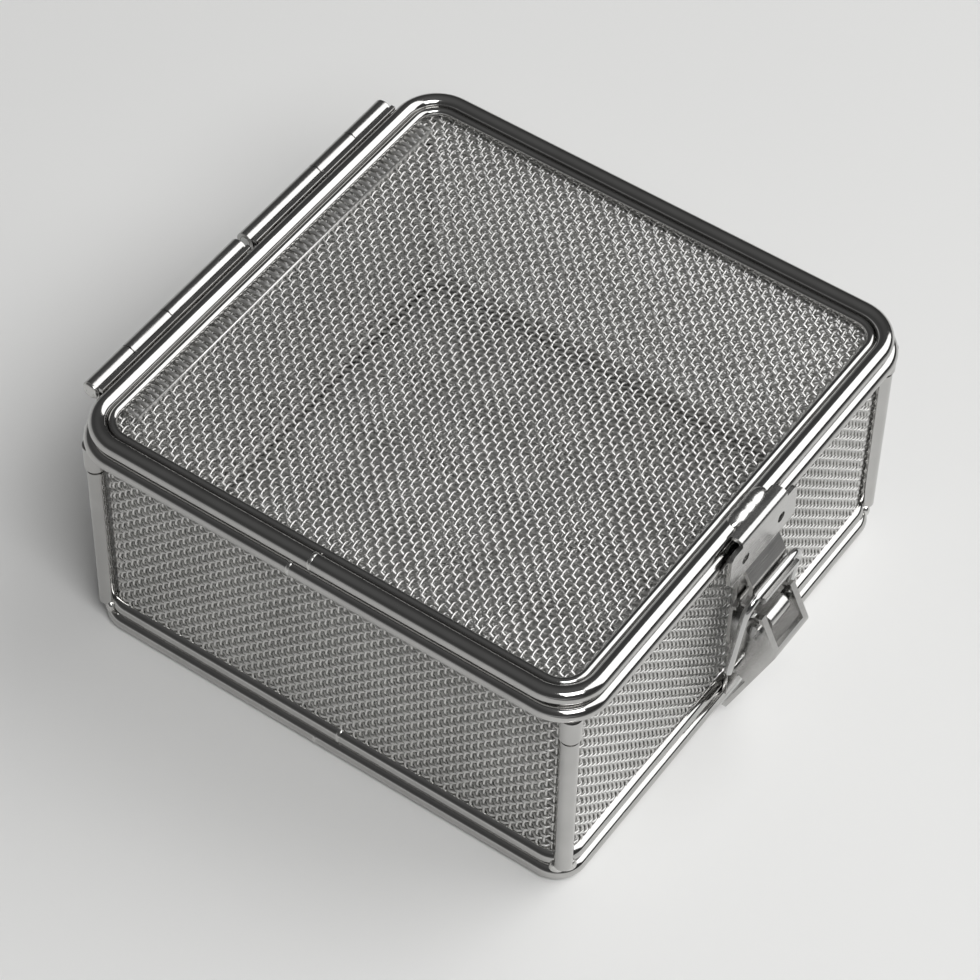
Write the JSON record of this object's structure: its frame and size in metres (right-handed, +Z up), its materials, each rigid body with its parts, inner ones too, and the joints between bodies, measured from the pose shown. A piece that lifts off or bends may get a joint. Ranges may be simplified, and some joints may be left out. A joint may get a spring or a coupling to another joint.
{
  "type": "sterilization basket",
  "caption": "Square steel basket with woven net walls on round rods, a hinged net lid and a toggle latch, for sterilizing instruments.",
  "frame": {"origin": "middle of the base, on the surface that the basket stands on", "axes": "+Z up, +Y towards the hinges, -Y towards the latch, +X along the hinge pins"},
  "size_m": [0.16, 0.1795, 0.0809],
  "materials": {
    "rod_steel": "electropolished round rod",
    "net_steel": "woven round wire, clean",
    "sheet_steel": "satin pressed sheet",
    "pin_steel": "smooth drawn wire and pins",
    "weld_steel": "polished weld bead"
  },
  "bodies": {
    "basket": {"body_ring": "rod_steel", "base_upper_ring": "rod_steel", "base_lower_ring": "rod_steel", "corner_post_back_right": "rod_steel", "corner_post_back_left": "rod_steel", "corner_post_front_right": "rod_steel", "corner_post_front_left": "rod_steel", "net_front": "net_steel", "net_back": "net_steel", "net_right": "net_steel", "net_left": "net_steel", "net_bend_back_right": "net_steel", "net_bend_back_left": "net_steel", "net_bend_front_right": "net_steel", "net_bend_front_left": "net_steel", "bottom_net": "net_steel", "body_hinge_leaf_right": "sheet_steel", "body_hinge_leaf_left": "sheet_steel", "latch_strip": "sheet_steel", "latch_bracket": "sheet_steel", "hinge_pin_right": "pin_steel", "hinge_pin_left": "pin_steel"},
    "lid": {"lid_ring": "rod_steel", "lid_inner_wire": "rod_steel", "lid_net": "net_steel", "lid_net_hem": "net_steel", "lid_hinge_leaf_right": "sheet_steel", "lid_hinge_leaf_left": "sheet_steel", "catch_plate": "sheet_steel", "catch_weld": "weld_steel"},
    "lever": {"latch_lever": "sheet_steel", "lever_pin": "pin_steel"},
    "bail": {"latch_bail": "pin_steel"}
  },
  "joints": [
    {"name": "lid_swing", "type": "hinge", "parent": "basket", "child": "lid", "pos_m": [0, 0.08275, 0.077], "axis": [-1, 0, 0], "range_deg": [0, 200]},
    {"name": "lever_open", "type": "hinge", "parent": "basket", "child": "lever", "pos_m": [0, -0.0875, 0.045], "axis": [-1, 0, 0], "range_deg": [0, 135]},
    {"name": "bail_swing", "type": "hinge", "parent": "lever", "child": "bail", "pos_m": [0, -0.083, 0.028], "axis": [-1, 0, 0], "range_deg": [-180, 0]}
  ],
  "couplings": [
    {"joint": "bail_swing", "follows": "lever_open", "ratio": -1.3}
  ]
}
